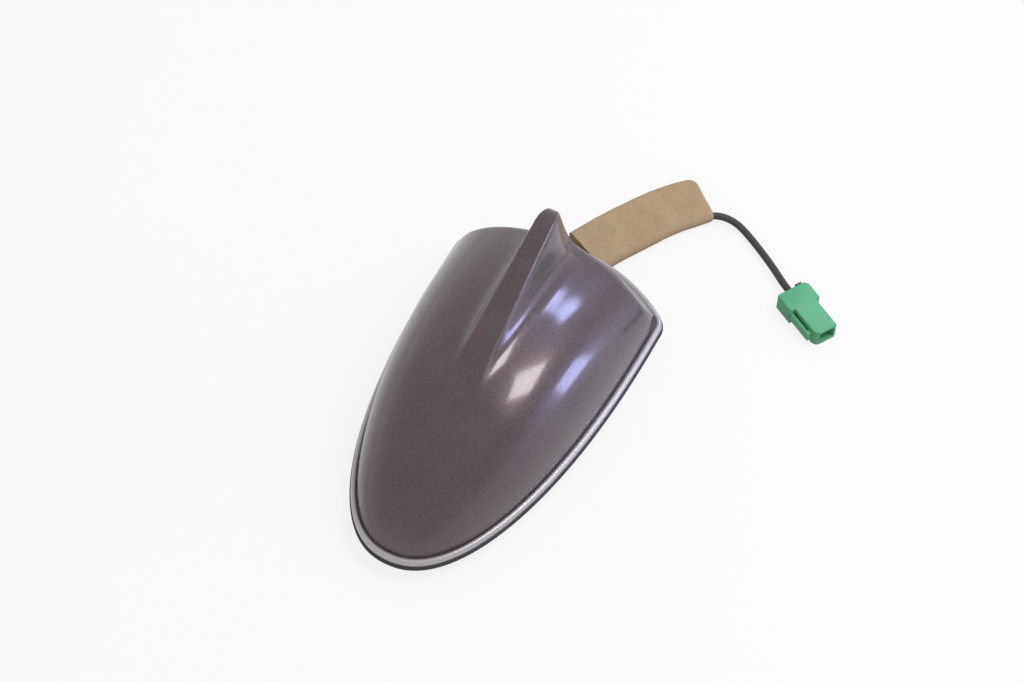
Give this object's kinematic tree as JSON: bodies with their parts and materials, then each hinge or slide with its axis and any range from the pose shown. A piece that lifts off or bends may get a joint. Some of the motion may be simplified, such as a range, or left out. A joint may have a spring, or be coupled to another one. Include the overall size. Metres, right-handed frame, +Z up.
{
  "type": "roof gps antenna",
  "caption": "Fin-shaped roof antenna with a sealed receiver inside, a threaded fixing under its base and a short foam-wrapped coaxial lead that ends in a connector.",
  "frame": {"origin": "mouth of the fixing thread, on the end face of the collar under the base", "axes": "+Z up out of the roof, +Y rearwards with the nose at -Y, +X to the right of someone facing +Y"},
  "size_m": [0.1423, 0.2038, 0.0619],
  "materials": {
    "paint": "glossy metallic paint on moulded plastic",
    "gasket_rubber": "matte black rubber",
    "cast_metal": "as cast",
    "steel": "zinc plated",
    "board_green": "solder resist",
    "pad_foam": "adhesive foam",
    "ceramic": "fired, unglazed",
    "silver": "silvered",
    "tin_plate": "tin plated",
    "chip_black": "moulded",
    "cable_black": "matte jacket",
    "foam_tan": "open foam",
    "plastic_green": "satin moulded",
    "plastic_dark": "satin moulded",
    "insulator_white": "moulded",
    "brass": "plated"
  },
  "bodies": {
    "root": {"cover": "paint", "roof_gasket": "gasket_rubber", "base_plate": "cast_metal", "cover_screws": "steel", "circuit_board": "board_green", "board_screws": "steel", "patch_pad": "pad_foam", "patch_antenna": "ceramic", "patch_electrode": "silver", "feed_pin": "silver", "shield_can": "tin_plate", "amplifier_chip": "chip_black", "filter_chip": "chip_black", "coax_cable": "cable_black", "ground_clip": "tin_plate", "cable_grommet": "gasket_rubber", "foam_wrap": "foam_tan", "connector_housing": "plastic_green", "terminal_retainer": "plastic_dark", "crimp_ferrule": "tin_plate", "contact_shell": "tin_plate", "contact_insulator": "insulator_white", "centre_contact": "brass"}
  },
  "joints": []
}
